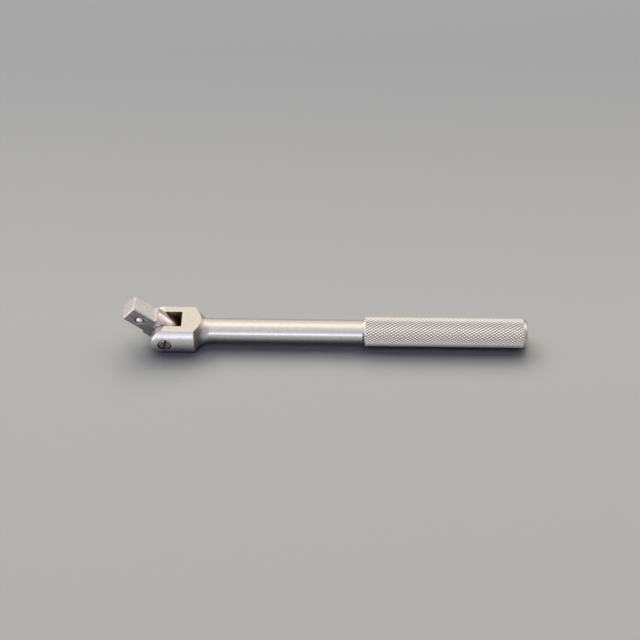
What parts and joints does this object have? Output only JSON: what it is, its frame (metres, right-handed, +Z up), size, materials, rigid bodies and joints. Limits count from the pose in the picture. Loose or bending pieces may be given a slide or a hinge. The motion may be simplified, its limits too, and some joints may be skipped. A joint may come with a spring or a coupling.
{
  "type": "spinner handle",
  "caption": "Flex-head spinner handle: a forked steel bar with a knurled grip and a square drive head that tilts in the fork and holds its angle by friction.",
  "frame": {"origin": "on the fork's lower flat, on the bar's centre line, half-way from the floor of the slot to the cone", "axes": "+X along the bar towards the end of the grip, +Z up out of the fork's upper flat, -Y towards the cheek that takes the screw's head"},
  "size_m": [0.2698, 0.0304, 0.035],
  "materials": {
    "satin_chrome": "satin chrome plate on a forged and turned bar, knurled on the grip",
    "milled_chrome": "satin chrome plate over milled faces with fine lengthwise marks",
    "dark_screw_steel": "turned steel, darkened",
    "polished_ball_steel": "polished bearing steel",
    "spring_steel": "drawn spring wire"
  },
  "bodies": {
    "handle": {"handle_bar": "satin_chrome", "pivot_screw": "dark_screw_steel", "friction_spring": "spring_steel"},
    "head": {"drive_head": "milled_chrome", "detent_spring": "spring_steel"},
    "detent": {"detent_ball": "polished_ball_steel"},
    "friction": {"friction_ball": "polished_ball_steel"}
  },
  "joints": [
    {"name": "head_tilt", "type": "hinge", "parent": "handle", "child": "head", "pos_m": [-0.01535, 0, 0.01], "axis": [0, 1, 0], "range_deg": [-131.5, 48.5]},
    {"name": "detent_press", "type": "slide", "parent": "head", "child": "detent", "axis": [0, 1, 0], "range_m": [0, 0.0011], "stiffness_N_per_m": 2000, "springref_m": -0.002, "deforming": ["detent_spring"]},
    {"name": "friction_press", "type": "slide", "parent": "handle", "child": "friction", "axis": [1, 0, 0], "range_m": [0, 0.0015], "stiffness_N_per_m": 4000, "springref_m": -0.003, "deforming": ["friction_spring"]}
  ]
}
